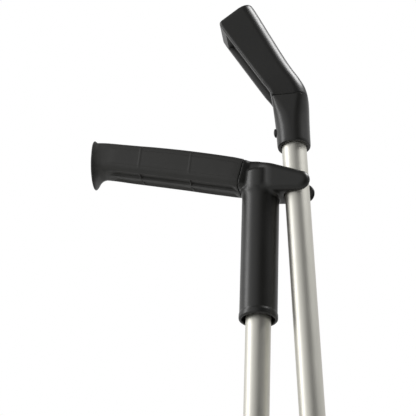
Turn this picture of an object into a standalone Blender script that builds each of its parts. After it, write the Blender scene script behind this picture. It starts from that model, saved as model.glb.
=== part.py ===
"""Pair of crutch poles joined at the handle: a hand-grip pole with a side clip,
and a second pole with an angled arm rest that stands in the clip.

Metres, +Z up.  The origin is the centre of the hand-grip pole's rubber tip on the
floor, and that pole runs along +Z.  The grip points towards -X, the clip towards +X.
The rest pole leans over the clip and is modelled in its own frame, held by an empty.
"""
import math

import bmesh
import bpy
from mathutils import Euler, Matrix, Vector

MM = 0.001
GAP = 0.3 * MM                  # clearance between neighbouring pieces
SEGMENTS = 32                   # sides of a round piece

# Tubes
TUBE_R = 10.0 * MM              # outer radius of the upper tubes
TUBE_WALL = 1.4 * MM
LEG_R = 8.0 * MM                # outer radius of the telescoping leg tubes
LEG_WALL = 1.4 * MM

# Heights on the hand-grip pole
GRIP_Z = 900.0 * MM             # grip axis crosses the pole's axis here
SLEEVE_BOTTOM_Z = 777.6 * MM
SLEEVE_TOP_Z = 908.5 * MM
UPPER_TUBE_TOP_Z = 899.0 * MM
UPPER_TUBE_BOTTOM_S = 400.0 * MM
HANDLE_SCREW_Z = 806.0 * MM

# Handle moulding
SLEEVE_R = 15.0 * MM
SLEEVE_LIP_R = 15.3 * MM
SLEEVE_BORE_R = TUBE_R + GAP
BORE_TOP_Z = 903.5 * MM
GRIP_TILT = math.radians(12.5)  # free end of the grip stands higher
GRIP_START = 15.2 * MM
GRIP_END = 143.0 * MM
CORE_HALF_HEIGHT = 9.0 * MM
CORE_HALF_DEPTH = 8.0 * MM
FORK_HALF_WIDTH = 14.9 * MM
FORK_TIP_R = 9.3 * MM
CLIP_R = TUBE_R + 0.5 * MM      # half the gap between the prongs

# Rest pole's place in the clip
CLIP_POINT = Vector((29.3 * MM, 0.0, 892.7 * MM))
LEAN = math.radians(4.0)
REST_TURN = math.radians(5.0)  # the rest is turned a little towards the grip's front

# Rest pole, measured along its own axis from the clip
SOCKET_BOTTOM = 35.8 * MM
SOCKET_TOP = 79.7 * MM
SOCKET_BORE_DEPTH = 38.0 * MM
REST_BEND = math.radians(26.0)
REST_BUTTON_H = 51.0 * MM
REST_BUTTON_R = 3.6 * MM
REST_BUTTON_TIP = -15.8 * MM

# Ferrule
TIP_BASE_R = 19.0 * MM
TIP_HEIGHT = 52.0 * MM
TIP_FLOOR = 10.0 * MM           # rubber under the washer
WASHER_T = 1.5 * MM

# Height adjustment
HOLE_PITCH = 25.0 * MM
HOLE_COUNT = 7
HOLE_R = 3.4 * MM
BUTTON_R = 3.0 * MM
BUTTON_PROUD = 3.0 * MM
LOWEST_HOLE_S = 460.0 * MM
GRIP_BUTTON_S = 560.0 * MM
REST_BUTTON_S = 610.0 * MM
LEG_ABOVE_BUTTON = 42.0 * MM
SPRING_WIDTH = 5.0 * MM
SPRING_T = 0.6 * MM

# Locking collar
COLLAR_BASE_R = 12.4 * MM
COLLAR_R = 15.6 * MM
COLLAR_BOTTOM_S = 389.0 * MM
COLLAR_HEIGHT = 40.0 * MM
COLLAR_FLUTES = 12

REST_TIP_H = -(CLIP_POINT.z - TIP_BASE_R * math.sin(LEAN)) / math.cos(LEAN)

MATERIALS = {
    "aluminium": ((0.74, 0.73, 0.70), 0.38, 1.0),
    "steel": ((0.62, 0.62, 0.63), 0.30, 1.0),
    "spring_steel": ((0.40, 0.41, 0.43), 0.35, 1.0),
    "black_plastic": ((0.022, 0.022, 0.020), 0.42, 0.0),
    "grip_plastic": ((0.030, 0.030, 0.027), 0.55, 0.0),
    "grey_plastic": ((0.24, 0.24, 0.24), 0.45, 0.0),
    "rubber": ((0.018, 0.018, 0.018), 0.75, 0.0),
}


def clear_scene():
    for ob in list(bpy.data.objects):
        bpy.data.objects.remove(ob, do_unlink=True)


def collection(name):
    coll = bpy.data.collections.new(name)
    bpy.context.scene.collection.children.link(coll)
    return coll


def material(node, kind):
    colour, roughness, metallic = MATERIALS[kind]
    mat = bpy.data.materials.new(node + "_" + kind)
    mat.use_nodes = True
    shader = mat.node_tree.nodes["Principled BSDF"]
    shader.inputs["Base Color"].default_value = (*colour, 1.0)
    shader.inputs["Roughness"].default_value = roughness
    shader.inputs["Metallic"].default_value = metallic
    mat.diffuse_color = (*colour, 1.0)
    return mat


def object_from_bmesh(name, bm):
    bmesh.ops.recalc_face_normals(bm, faces=bm.faces)
    mesh = bpy.data.meshes.new(name)
    bm.to_mesh(mesh)
    bm.free()
    return bpy.data.objects.new(name, mesh)


def place_part(ob, kind, parent=None):
    """Link a finished sub-part, with its own material and soft shading."""
    PARTS.objects.link(ob)
    ob.data.materials.append(material(ob.name, kind))
    ob.data.shade_smooth()
    ob.data.set_sharp_from_angle(angle=math.radians(35.0))
    ob.parent = parent
    return ob


def place_cutter(ob, parent=None):
    CUTTERS.objects.link(ob)
    ob.hide_render = True
    ob.display_type = "WIRE"
    ob.parent = parent
    return ob


def boolean(ob, tool, operation):
    mod = ob.modifiers.new(tool.name, "BOOLEAN")
    mod.operation = operation
    mod.object = tool
    mod.solver = "EXACT"


def turned(name, profile, segments=SEGMENTS):
    """Solid of revolution about Z: (radius, height) pairs, outer side top to bottom."""
    bm = bmesh.new()
    verts = [bm.verts.new((r, 0.0, z)) for r, z in profile]
    for a, b in zip(verts, verts[1:] + verts[:1]):
        if a.co.x > 0.0 or b.co.x > 0.0:
            bm.edges.new((a, b))
    mesh = bpy.data.meshes.new(name)
    bm.to_mesh(mesh)
    bm.free()
    ob = bpy.data.objects.new(name, mesh)
    screw = ob.modifiers.new("turn", "SCREW")
    screw.steps = segments
    screw.render_steps = segments
    screw.use_merge_vertices = True
    screw.merge_threshold = 0.00001
    return ob


def cylinder(name, radius, start, end, segments=SEGMENTS):
    """Closed cylinder from one point to another."""
    start, end = Vector(start), Vector(end)
    bm = bmesh.new()
    bmesh.ops.create_cone(bm, cap_ends=True, segments=segments, radius1=radius, radius2=radius,
                          depth=(end - start).length)
    turn = (end - start).to_track_quat("Z", "Y").to_matrix().to_4x4()
    bmesh.ops.transform(bm, verts=bm.verts, matrix=Matrix.Translation((start + end) / 2) @ turn)
    return object_from_bmesh(name, bm)


def box(name, low, high):
    low, high = Vector(low), Vector(high)
    bm = bmesh.new()
    bmesh.ops.create_cube(bm, size=1.0)
    size = Matrix.Diagonal((*(high - low), 1.0))
    bmesh.ops.transform(bm, verts=bm.verts, matrix=Matrix.Translation((low + high) / 2) @ size)
    return object_from_bmesh(name, bm)


def plate(name, outline, half_depth):
    """Flat outline in XZ, given as (x, z) pairs, thickened evenly to both sides of y = 0."""
    bm = bmesh.new()
    face = bm.faces.new([bm.verts.new((x, -half_depth, z)) for x, z in outline])
    side = bmesh.ops.extrude_face_region(bm, geom=[face])["geom"]
    moved = [item for item in side if isinstance(item, bmesh.types.BMVert)]
    bmesh.ops.translate(bm, verts=moved, vec=(0.0, 2.0 * half_depth, 0.0))
    return object_from_bmesh(name, bm)


def superellipse(half_a, half_b, power, count):
    """Points of a rounded rectangle that is an ellipse at power 2."""
    points = []
    for i in range(count):
        angle = 2.0 * math.pi * i / count
        c, s = math.cos(angle), math.sin(angle)
        points.append((half_a * math.copysign(abs(c) ** (2.0 / power), c),
                       half_b * math.copysign(abs(s) ** (2.0 / power), s)))
    return points


def loft(name, sections, count=SEGMENTS):
    """Solid through sections (x, z, tilt, half_width, half_depth, power).

    A section is centred at (x, 0, z), and its plane is tilted about Y by tilt, so that
    it stands square to a path in the XZ plane.
    """
    bm = bmesh.new()
    rings = []
    for x, z, tilt, half_width, half_depth, power in sections:
        turn = Matrix.Rotation(tilt, 4, "Y")
        ring = []
        for a, b in superellipse(half_width, half_depth, power, count):
            ring.append(bm.verts.new(Vector((x, 0.0, z)) + turn @ Vector((a, b, 0.0))))
        rings.append(ring)
    for low, high in zip(rings, rings[1:]):
        for i in range(count):
            j = (i + 1) % count
            bm.faces.new((low[i], low[j], high[j], high[i]))
    bm.faces.new(list(reversed(rings[0])))
    bm.faces.new(rings[-1])
    return object_from_bmesh(name, bm)


def arc(cx, cz, radius, start, stop, steps):
    """Points on an arc, by angle in degrees from +X towards +Z."""
    points = []
    for i in range(steps + 1):
        angle = math.radians(start + (stop - start) * i / steps)
        points.append((cx + radius * math.cos(angle), cz + radius * math.sin(angle)))
    return points


def empty(name, location, rotation=(0.0, 0.0, 0.0), parent=None):
    ob = bpy.data.objects.new(name, None)
    ob.location = location
    ob.rotation_euler = rotation
    ob.parent = parent
    PARTS.objects.link(ob)
    return ob


# ---------------------------------------------------------------- shared pole parts

def tube(name, radius, wall, bottom, top, kind, parent):
    inner = radius - wall
    ob = turned(name, [(radius, top), (radius, bottom), (inner, bottom), (inner, top)])
    return place_part(ob, kind, parent)


def drill(ob, name, radius, start, end, parent, segments=16):
    """Round hole through a sub-part, from start to end."""
    boolean(ob, place_cutter(cylinder(name, radius, start, end, segments), parent), "DIFFERENCE")


def ferrule(prefix, base, parent):
    """Rubber tip with a ringed neck, a wide foot and a grooved tread, and its steel washer."""
    bore = LEG_R + GAP
    profile = [(bore, TIP_HEIGHT), (11.6 * MM, TIP_HEIGHT), (12.2 * MM, TIP_HEIGHT - 0.8 * MM),
               (12.2 * MM, 45.0 * MM), (11.2 * MM, 43.6 * MM), (11.2 * MM, 40.0 * MM),
               (12.4 * MM, 38.4 * MM), (12.4 * MM, 33.0 * MM), (11.6 * MM, 31.6 * MM),
               (11.8 * MM, 27.0 * MM), (12.8 * MM, 21.0 * MM), (14.8 * MM, 15.0 * MM),
               (17.6 * MM, 10.4 * MM), (18.8 * MM, 8.4 * MM), (TIP_BASE_R, 6.5 * MM),
               (TIP_BASE_R, 0.8 * MM), (TIP_BASE_R - 0.8 * MM, 0.0),
               (16.0 * MM, 0.0), (15.4 * MM, 1.6 * MM), (13.4 * MM, 1.6 * MM), (12.8 * MM, 0.0),
               (9.8 * MM, 0.0), (9.2 * MM, 1.6 * MM), (7.2 * MM, 1.6 * MM), (6.6 * MM, 0.0),
               (0.0, 0.0), (0.0, TIP_FLOOR), (bore, TIP_FLOOR)]
    tip = place_part(turned(prefix + "_rubber_tip", profile), "rubber", parent)
    tip.location.z = base
    low = TIP_FLOOR + GAP
    outer, inner = LEG_R - 0.1 * MM, 2.5 * MM
    washer = turned(prefix + "_tip_washer", [(outer, low + WASHER_T), (outer, low),
                                             (inner, low), (inner, low + WASHER_T)])
    place_part(washer, "steel", parent).location.z = base


def leg(prefix, base, button_s, parent):
    """Telescoping leg: tube, rubber tip, washer and the fixed half of the snap spring."""
    bottom = base + TIP_FLOOR + WASHER_T + 2.0 * GAP
    height = base + button_s
    tube_ob = tube(prefix + "_leg_tube", LEG_R, LEG_WALL, bottom, height + LEG_ABOVE_BUTTON,
                   "aluminium", parent)
    drill(tube_ob, prefix + "_leg_hole", HOLE_R, (0.0, 0.0, height), (2.0 * LEG_R, 0.0, height),
          parent)
    ferrule(prefix, base, parent)
    inner = LEG_R - LEG_WALL
    back = -inner + 1.2 * MM
    low = height - 34.0 * MM
    bend = 4.0 * MM
    outline = [(back, height + 8.0 * MM), (back, low)]
    outline += arc(back + bend, low, bend, 180.0, 330.0, 8)
    inside = [(back + SPRING_T, height + 8.0 * MM), (back + SPRING_T, low)]
    inside += arc(back + bend, low, bend - SPRING_T, 180.0, 330.0, 8)
    clip = plate(prefix + "_snap_spring", outline + inside[::-1], SPRING_WIDTH / 2)
    place_part(clip, "spring_steel", parent)


def snap_button(prefix, height, parent):
    """Domed pin through both tubes, with the spring arm that carries it."""
    axis = empty(prefix + "_button_axis", (0.0, 0.0, height), parent=parent)
    front = LEG_R - LEG_WALL - 2.6 * MM
    tip = TUBE_R + BUTTON_PROUD
    start = front + SPRING_T + 0.1 * MM
    dome = 1.8 * MM
    profile = [(0.0, tip)]
    for i in range(1, 7):
        angle = math.radians(15.0 * i)
        profile.append((BUTTON_R * math.sin(angle), tip - dome + dome * math.cos(angle)))
    profile += [(BUTTON_R, start), (0.0, start)]
    pin = turned(prefix + "_snap_button", profile, 24)
    pin.rotation_euler = (0.0, math.radians(90.0), 0.0)
    place_part(pin, "steel", axis)
    arm = box(prefix + "_snap_spring_arm", (front, -SPRING_WIDTH / 2, -31.0 * MM),
              (front + SPRING_T, SPRING_WIDTH / 2, 6.0 * MM))
    place_part(arm, "spring_steel", axis)


def adjustment_holes(ob, prefix, base, parent):
    for i in range(HOLE_COUNT):
        height = base + LOWEST_HOLE_S + i * HOLE_PITCH
        drill(ob, "%s_hole_%d" % (prefix, i + 1), HOLE_R, (0.0, 0.0, height),
              (2.0 * TUBE_R, 0.0, height), parent)


def collar(prefix, base, parent):
    """Fixed threaded bush on the tube's end, and the fluted locking collar round it."""
    low = base + UPPER_TUBE_BOTTOM_S + 3.0 * MM
    high = base + COLLAR_BOTTOM_S + COLLAR_HEIGHT - 2.0 * MM
    bore = TUBE_R + GAP
    bush = turned(prefix + "_collar_bush", [(COLLAR_BASE_R, high), (COLLAR_BASE_R, low),
                                            (bore, low), (bore, high)])
    place_part(bush, "grey_plastic", parent)

    axis = empty(prefix + "_collar_axis", (0.0, 0.0, base + COLLAR_BOTTOM_S), parent=parent)
    count = COLLAR_FLUTES * 6
    outline = []
    for i in range(count):
        angle = 2.0 * math.pi * i / count
        dip = 0.8 * MM * max(0.0, math.cos(COLLAR_FLUTES * angle))
        outline.append((angle, COLLAR_R - dip))
    bm = bmesh.new()
    rings = []
    for z, inset in ((0.0, 1.2 * MM), (1.2 * MM, 0.0), (COLLAR_HEIGHT - 1.2 * MM, 0.0),
                     (COLLAR_HEIGHT, 1.2 * MM)):
        rings.append([bm.verts.new(((r - inset) * math.cos(a), (r - inset) * math.sin(a), z))
                      for a, r in outline])
    for low_ring, high_ring in zip(rings, rings[1:]):
        for i in range(count):
            j = (i + 1) % count
            bm.faces.new((low_ring[i], low_ring[j], high_ring[j], high_ring[i]))
    bm.faces.new(list(reversed(rings[0])))
    bm.faces.new(rings[-1])
    nut = object_from_bmesh(prefix + "_locking_collar", bm)
    over = 1.0 * MM
    lip_top = UPPER_TUBE_BOTTOM_S - COLLAR_BOTTOM_S - 2.0 * MM
    wide, narrow = COLLAR_BASE_R + GAP, LEG_R + GAP
    bore_cut = turned(prefix + "_collar_bore", [
        (0.0, COLLAR_HEIGHT + over), (wide, COLLAR_HEIGHT + over), (wide, lip_top + 1.5 * MM),
        (narrow, lip_top), (narrow, -over), (0.0, -over)])
    boolean(nut, place_cutter(bore_cut, axis), "DIFFERENCE")
    place_part(nut, "black_plastic", axis)


# ---------------------------------------------------------------- hand-grip pole

def grip_point(along, up=0.0):
    """(x, z) on the grip's axis at a distance from the pole's axis, and up square to it."""
    c, s = math.cos(GRIP_TILT), math.sin(GRIP_TILT)
    return (-along * c + up * s, GRIP_Z + along * s + up * c)


def grip_section(along, up, half_height, half_depth, power):
    """Section square to the grip's axis."""
    x, z = grip_point(along, up)
    return (x, z, math.radians(-90.0) + GRIP_TILT, half_height, half_depth, power)


def upright_section(along, up, half_height, half_depth, power):
    """Section in a vertical plane, as at the grip's free end."""
    x, z = grip_point(along)
    return (x, z + up, math.radians(-90.0), half_height, half_depth, power)


def fork_outline():
    """Side view of the bar that carries the prongs: deep at the pole, round at the tip."""
    tip_x, tip_z = 33.2 * MM, 892.0 * MM
    outline = [(-7.0 * MM, 885.0 * MM), (12.0 * MM, 883.6 * MM)]
    outline += arc(tip_x, tip_z, FORK_TIP_R, -95.0, 72.0, 10)
    outline += [(20.0 * MM, 905.6 * MM), (-7.0 * MM, 914.2 * MM)]
    return outline


def handle():
    """Moulding in one piece: sleeve on the tube, core of the grip, and the two-pronged clip."""
    low, high = SLEEVE_BOTTOM_Z, SLEEVE_TOP_Z
    round_top = 7.0 * MM
    profile = [(0.0, high)]
    for i in range(1, 6):
        angle = math.radians(18.0 * i)
        profile.append((SLEEVE_R - round_top + round_top * math.sin(angle),
                        high - round_top + round_top * math.cos(angle)))
    profile += [(SLEEVE_R, low + 6.0 * MM), (SLEEVE_LIP_R, low + 3.0 * MM),
                (SLEEVE_LIP_R, low + 1.4 * MM), (SLEEVE_LIP_R - 1.4 * MM, low), (0.0, low)]
    body = turned("A_handle", profile)

    fork = place_cutter(plate("A_fork_blank", fork_outline(), FORK_HALF_WIDTH))
    edge = fork.modifiers.new("edge", "BEVEL")
    edge.width = 3.8 * MM
    edge.segments = 3
    edge.limit_method = "ANGLE"
    edge.angle_limit = math.radians(50.0)
    boolean(body, fork, "UNION")

    core = loft("A_core_blank", [grip_section(s, 0.0, CORE_HALF_HEIGHT, CORE_HALF_DEPTH, 2.4)
                                 for s in (4.0 * MM, GRIP_END - 12.0 * MM)], 24)
    boolean(body, place_cutter(core), "UNION")
    shoulder = loft("A_shoulder_blank", [
        grip_section(6.0 * MM, 0.0, 11.5 * MM, 12.4 * MM, 4.0),
        grip_section(12.0 * MM, 0.0, 12.9 * MM, 13.9 * MM, 6.0),
        grip_section(GRIP_START - GAP, 0.0, 12.9 * MM, 13.9 * MM, 6.0)])
    boolean(body, place_cutter(shoulder), "UNION")

    bore = cylinder("A_handle_bore", SLEEVE_BORE_R, (0.0, 0.0, low - 5.0 * MM),
                    (0.0, 0.0, BORE_TOP_Z))
    boolean(body, place_cutter(bore), "DIFFERENCE")
    channel = [(-CLIP_R * math.sin(math.radians(a)), CLIP_R * math.cos(math.radians(a)))
               for a in range(0, 181, 12)]
    channel += [(40.0 * MM, -CLIP_R), (40.0 * MM, CLIP_R)]
    bm = bmesh.new()
    face = bm.faces.new([bm.verts.new((x, y, -40.0 * MM)) for x, y in channel])
    rise = bmesh.ops.extrude_face_region(bm, geom=[face])["geom"]
    moved = [item for item in rise if isinstance(item, bmesh.types.BMVert)]
    bmesh.ops.translate(bm, verts=moved, vec=(0.0, 0.0, 80.0 * MM))
    slot = place_cutter(object_from_bmesh("A_clip_slot", bm))
    slot.location = CLIP_POINT
    slot.rotation_euler = (0.0, -LEAN, 0.0)
    boolean(body, slot, "DIFFERENCE")

    z = HANDLE_SCREW_Z
    drill(body, "A_screw_hole", 2.2 * MM, (0.0, 0.0, z), (0.0, 2.0 * SLEEVE_R, z), None)
    drill(body, "A_screw_seat", 3.9 * MM, (0.0, SLEEVE_R - 2.6 * MM, z),
          (0.0, 2.0 * SLEEVE_R, z), None)
    place_part(body, "black_plastic")


def grip_cover():
    """Hand-filling cover over the core, with a flange at its free end, and the end plug."""
    shape = [(15.2, 0.0, 13.0, 14.2, 6.0), (24.0, 0.3, 13.2, 14.4, 6.5),
             (45.0, 0.6, 13.4, 14.5, 6.5), (66.0, 0.8, 13.3, 14.4, 6.5),
             (88.0, 0.6, 13.1, 14.2, 6.5), (108.0, 0.2, 12.8, 13.9, 6.5),
             (126.0, 0.0, 12.5, 13.7, 6.0)]
    flange = [(134.0, -0.4, 12.9, 13.7, 5.0), (137.5, -1.4, 13.9, 13.9, 4.2),
              (140.0, -3.3, 16.5, 14.3, 3.2), (141.6, -5.0, 19.7, 14.8, 2.8),
              (142.4, -5.4, 20.6, 15.0, 2.7), (143.0, -5.4, 20.1, 14.6, 2.7)]
    cover = loft("A_grip_cover",
                 [grip_section(s * MM, up * MM, h * MM, d * MM, n) for s, up, h, d, n in shape]
                 + [upright_section(s * MM, up * MM, h * MM, d * MM, n)
                    for s, up, h, d, n in flange])
    bore = loft("A_grip_bore", [grip_section(s, 0.0, CORE_HALF_HEIGHT + GAP,
                                             CORE_HALF_DEPTH + GAP, 2.4)
                                for s in (0.0, GRIP_END + 10.0 * MM)], 24)
    boolean(cover, place_cutter(bore), "DIFFERENCE")
    seat_depth = 3.0 * MM
    seat = loft("A_end_cap_seat", [upright_section(s, 0.0, 11.4 * MM, 10.8 * MM, 2.4)
                                   for s in (GRIP_END - seat_depth, GRIP_END + 10.0 * MM)], 24)
    boolean(cover, place_cutter(seat), "DIFFERENCE")
    place_part(cover, "grip_plastic")
    cap = loft("A_grip_end_cap", [
        upright_section(GRIP_END - 9.0 * MM, 0.0, 7.5 * MM, 6.5 * MM, 2.4),
        upright_section(GRIP_END - seat_depth + GAP, 0.0, 7.5 * MM, 6.5 * MM, 2.4),
        upright_section(GRIP_END - seat_depth + GAP, 0.0, 11.0 * MM, 10.4 * MM, 2.4),
        upright_section(GRIP_END - 0.8 * MM, 0.0, 11.0 * MM, 10.4 * MM, 2.4),
        upright_section(GRIP_END - 0.2 * MM, 0.0, 10.2 * MM, 9.6 * MM, 2.4)], 24)
    place_part(cap, "black_plastic")


def handle_screw():
    z = HANDLE_SCREW_Z
    seat = SLEEVE_R - 2.6 * MM + GAP
    profile = [(0.0, seat + 2.0 * MM), (2.2 * MM, seat + 2.0 * MM), (3.4 * MM, seat + 1.1 * MM),
               (3.5 * MM, seat), (1.9 * MM, seat), (1.9 * MM, 8.0 * MM), (0.0, 6.4 * MM)]
    screw = turned("A_handle_screw", profile, 20)
    screw.rotation_euler = (math.radians(-90.0), 0.0, 0.0)
    screw.location = (0.0, 0.0, z)
    slot = place_cutter(box("A_screw_slot", (-0.5 * MM, seat + 1.2 * MM, z - 5.0 * MM),
                            (0.5 * MM, seat + 3.0 * MM, z + 5.0 * MM)))
    boolean(screw, slot, "DIFFERENCE")
    place_part(screw, "steel")


def grip_pole():
    upper = tube("A_upper_tube", TUBE_R, TUBE_WALL, UPPER_TUBE_BOTTOM_S, UPPER_TUBE_TOP_Z,
                 "aluminium", None)
    adjustment_holes(upper, "A_upper", 0.0, None)
    drill(upper, "A_upper_screw_hole", 2.2 * MM, (0.0, 0.0, HANDLE_SCREW_Z),
          (0.0, 2.0 * TUBE_R, HANDLE_SCREW_Z), None)
    inner = TUBE_R - TUBE_WALL - GAP
    top = UPPER_TUBE_TOP_Z
    plug = turned("A_tube_plug", [(0.0, top + 2.3 * MM), (TUBE_R - 0.4 * MM, top + 2.3 * MM),
                                  (TUBE_R - 0.4 * MM, top + GAP), (inner, top + GAP),
                                  (inner, top - 11.0 * MM), (inner - 1.0 * MM, top - 12.0 * MM),
                                  (0.0, top - 12.0 * MM)])
    place_part(plug, "grey_plastic")
    handle()
    grip_cover()
    handle_screw()
    collar("A", 0.0, None)
    axis = empty("A_leg_axis", (0.0, 0.0, 0.0))
    leg("A", 0.0, GRIP_BUTTON_S, axis)
    snap_button("A", GRIP_BUTTON_S, axis)


# ---------------------------------------------------------------- rest pole

def rest_sections(inset):
    """Sections of the arm rest above the socket, square to its bent centre line."""
    shape = [(-0.3, 80.0, 0.0, 14.6, 13.4, 3.0), (-1.2, 84.5, 12.0, 14.4, 14.0, 3.4),
             (-4.2, 91.5, 22.0, 14.1, 14.6, 3.8), (-9.2, 100.0, 26.0, 14.2, 15.0, 4.2),
             (-26.3, 133.4, 26.0, 15.6, 15.0, 4.5), (-36.2, 153.4, 26.0, 16.6, 15.0, 4.5),
             (-39.1, 159.4, 26.0, 16.9, 15.0, 4.5), (-40.4, 162.0, 26.0, 16.5, 14.6, 4.4),
             (-41.1, 163.4, 26.0, 15.4, 13.5, 4.2), (-41.4, 164.0, 26.0, 13.6, 11.7, 4.0)]
    return [(x * MM, z * MM, -math.radians(t), w * MM - inset, d * MM - inset, n)
            for x, z, t, w, d, n in shape]


def arm_rest(parent):
    """Socket on the tube with its bent core, the cover over the core, and its screw."""
    socket = loft("B_rest_socket", [
        (0.0, SOCKET_BOTTOM, 0.0, 13.0 * MM, 13.0 * MM, 2.0),
        (0.0, SOCKET_BOTTOM + 1.2 * MM, 0.0, 13.5 * MM, 13.5 * MM, 2.0),
        (0.0, 50.0 * MM, 0.0, 13.7 * MM, 13.4 * MM, 2.1),
        (-0.1 * MM, 62.0 * MM, 0.0, 14.1 * MM, 13.3 * MM, 2.4),
        (-0.2 * MM, 72.0 * MM, 0.0, 14.5 * MM, 13.3 * MM, 2.7),
        (-0.3 * MM, SOCKET_TOP, 0.0, 14.6 * MM, 13.4 * MM, 3.0)])
    inset = 5.5 * MM
    path = rest_sections(inset)
    core_path = [(-0.2 * MM, 76.0 * MM, 0.0, path[0][3], path[0][4], 3.0)] + path[:6]
    core = place_cutter(loft("B_core_blank", core_path, 24), parent)
    boolean(socket, core, "UNION")
    bore = cylinder("B_socket_bore", TUBE_R + GAP, (0.0, 0.0, SOCKET_BOTTOM - 5.0 * MM),
                    (0.0, 0.0, SOCKET_BOTTOM + SOCKET_BORE_DEPTH))
    boolean(socket, place_cutter(bore, parent), "DIFFERENCE")
    drill(socket, "B_rest_button_hole", REST_BUTTON_R + GAP, (0.0, 0.0, REST_BUTTON_H),
          (2.0 * REST_BUTTON_TIP, 0.0, REST_BUTTON_H), parent)

    cover = loft("B_rest_pad", rest_sections(0.0))
    hollow_path = rest_sections(inset - GAP)[:6]
    first = hollow_path[0]
    mouth = (first[0], first[1] - 8.0 * MM) + first[2:]
    end = hollow_path[5]
    reach = 0.6 * MM
    end = (end[0] - reach * math.sin(REST_BEND), end[1] + reach * math.cos(REST_BEND)) + end[2:]
    hollow = loft("B_pad_hollow", [mouth] + hollow_path[:5] + [end], 24)
    boolean(cover, place_cutter(hollow, parent), "DIFFERENCE")

    x, z = -18.0 * MM, 117.0 * MM
    back = 15.0 * MM
    seat = back - 2.4 * MM
    for ob, name, radius, start in ((cover, "B_pad_screw_hole", 2.2 * MM, 0.0),
                                    (cover, "B_pad_screw_seat", 3.9 * MM, seat),
                                    (socket, "B_core_screw_hole", 2.2 * MM, 1.5 * MM)):
        drill(ob, name, radius, (x, start, z), (x, 2.0 * back, z), parent)
    place_part(socket, "black_plastic", parent)
    place_part(cover, "grip_plastic", parent)
    profile = [(0.0, seat + 2.0 * MM), (2.2 * MM, seat + 2.0 * MM), (3.4 * MM, seat + 1.1 * MM),
               (3.5 * MM, seat + GAP), (1.9 * MM, seat + GAP), (1.9 * MM, 3.6 * MM),
               (0.0, 2.0 * MM)]
    screw = turned("B_rest_screw", profile, 20)
    screw.rotation_euler = (math.radians(-90.0), 0.0, 0.0)
    screw.location = (x, 0.0, z)
    slot = place_cutter(box("B_screw_slot", (x - 0.5 * MM, seat + 1.2 * MM, z - 5.0 * MM),
                            (x + 0.5 * MM, seat + 3.0 * MM, z + 5.0 * MM)), parent)
    boolean(screw, slot, "DIFFERENCE")
    place_part(screw, "steel", parent)


def rest_button(parent):
    """Push button of the socket, carried by a leaf inside the tube."""
    axis = empty("B_rest_button_axis", (0.0, 0.0, REST_BUTTON_H), parent=parent)
    tip = -REST_BUTTON_TIP
    start = 6.8 * MM
    dome = 1.4 * MM
    profile = [(0.0, tip)]
    for i in range(1, 7):
        angle = math.radians(15.0 * i)
        profile.append((REST_BUTTON_R * math.sin(angle), tip - dome + dome * math.cos(angle)))
    profile += [(REST_BUTTON_R, start), (0.0, start)]
    pin = turned("B_rest_button", profile, 24)
    pin.rotation_euler = (0.0, math.radians(-90.0), 0.0)
    place_part(pin, "black_plastic", axis)
    leaf = box("B_rest_button_leaf", (-start + 0.1 * MM, -SPRING_WIDTH / 2, -24.0 * MM),
               (-start + 0.1 * MM + SPRING_T, SPRING_WIDTH / 2, 6.0 * MM))
    place_part(leaf, "spring_steel", axis)


def rest_pole():
    pole = empty("B_pole_axis", CLIP_POINT, Euler((0.0, -LEAN, 0.0)))
    turned_pole = empty("B_turn_axis", (0.0, 0.0, 0.0), (0.0, 0.0, REST_TURN), pole)
    base = REST_TIP_H
    upper = tube("B_upper_tube", TUBE_R, TUBE_WALL, base + UPPER_TUBE_BOTTOM_S,
                 SOCKET_BOTTOM + SOCKET_BORE_DEPTH - GAP, "aluminium", turned_pole)
    adjustment_holes(upper, "B_upper", base, turned_pole)
    drill(upper, "B_upper_button_hole", REST_BUTTON_R + GAP, (0.0, 0.0, REST_BUTTON_H),
          (2.0 * REST_BUTTON_TIP, 0.0, REST_BUTTON_H), turned_pole)
    arm_rest(turned_pole)
    rest_button(turned_pole)
    collar("B", base, turned_pole)
    leg("B", base, REST_BUTTON_S, turned_pole)
    snap_button("B", base + REST_BUTTON_S, turned_pole)


clear_scene()
PARTS = collection("underarm_crutches")
CUTTERS = collection("cutters")
grip_pole()
rest_pole()
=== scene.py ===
"""Detailed look of the joined crutch poles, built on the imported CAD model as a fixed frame."""

import math

import bmesh
import bpy
import numpy as np
from mathutils import Matrix, Vector


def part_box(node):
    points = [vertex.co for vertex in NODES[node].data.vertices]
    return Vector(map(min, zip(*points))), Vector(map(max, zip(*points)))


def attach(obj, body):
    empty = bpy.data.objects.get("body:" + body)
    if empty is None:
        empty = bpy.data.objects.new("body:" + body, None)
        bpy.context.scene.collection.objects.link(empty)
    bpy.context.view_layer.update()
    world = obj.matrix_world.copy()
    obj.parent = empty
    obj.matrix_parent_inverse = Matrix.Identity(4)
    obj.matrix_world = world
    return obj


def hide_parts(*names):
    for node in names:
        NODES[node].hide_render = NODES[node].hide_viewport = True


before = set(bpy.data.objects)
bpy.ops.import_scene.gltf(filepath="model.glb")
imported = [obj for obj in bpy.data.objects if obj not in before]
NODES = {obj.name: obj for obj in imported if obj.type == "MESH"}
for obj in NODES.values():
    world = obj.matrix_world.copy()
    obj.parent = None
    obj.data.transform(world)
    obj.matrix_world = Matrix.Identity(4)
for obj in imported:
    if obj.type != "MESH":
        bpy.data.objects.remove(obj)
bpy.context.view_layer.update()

MM = 0.001


def node_low(node):
    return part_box(node)[0]


def node_high(node):
    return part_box(node)[1]


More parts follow.
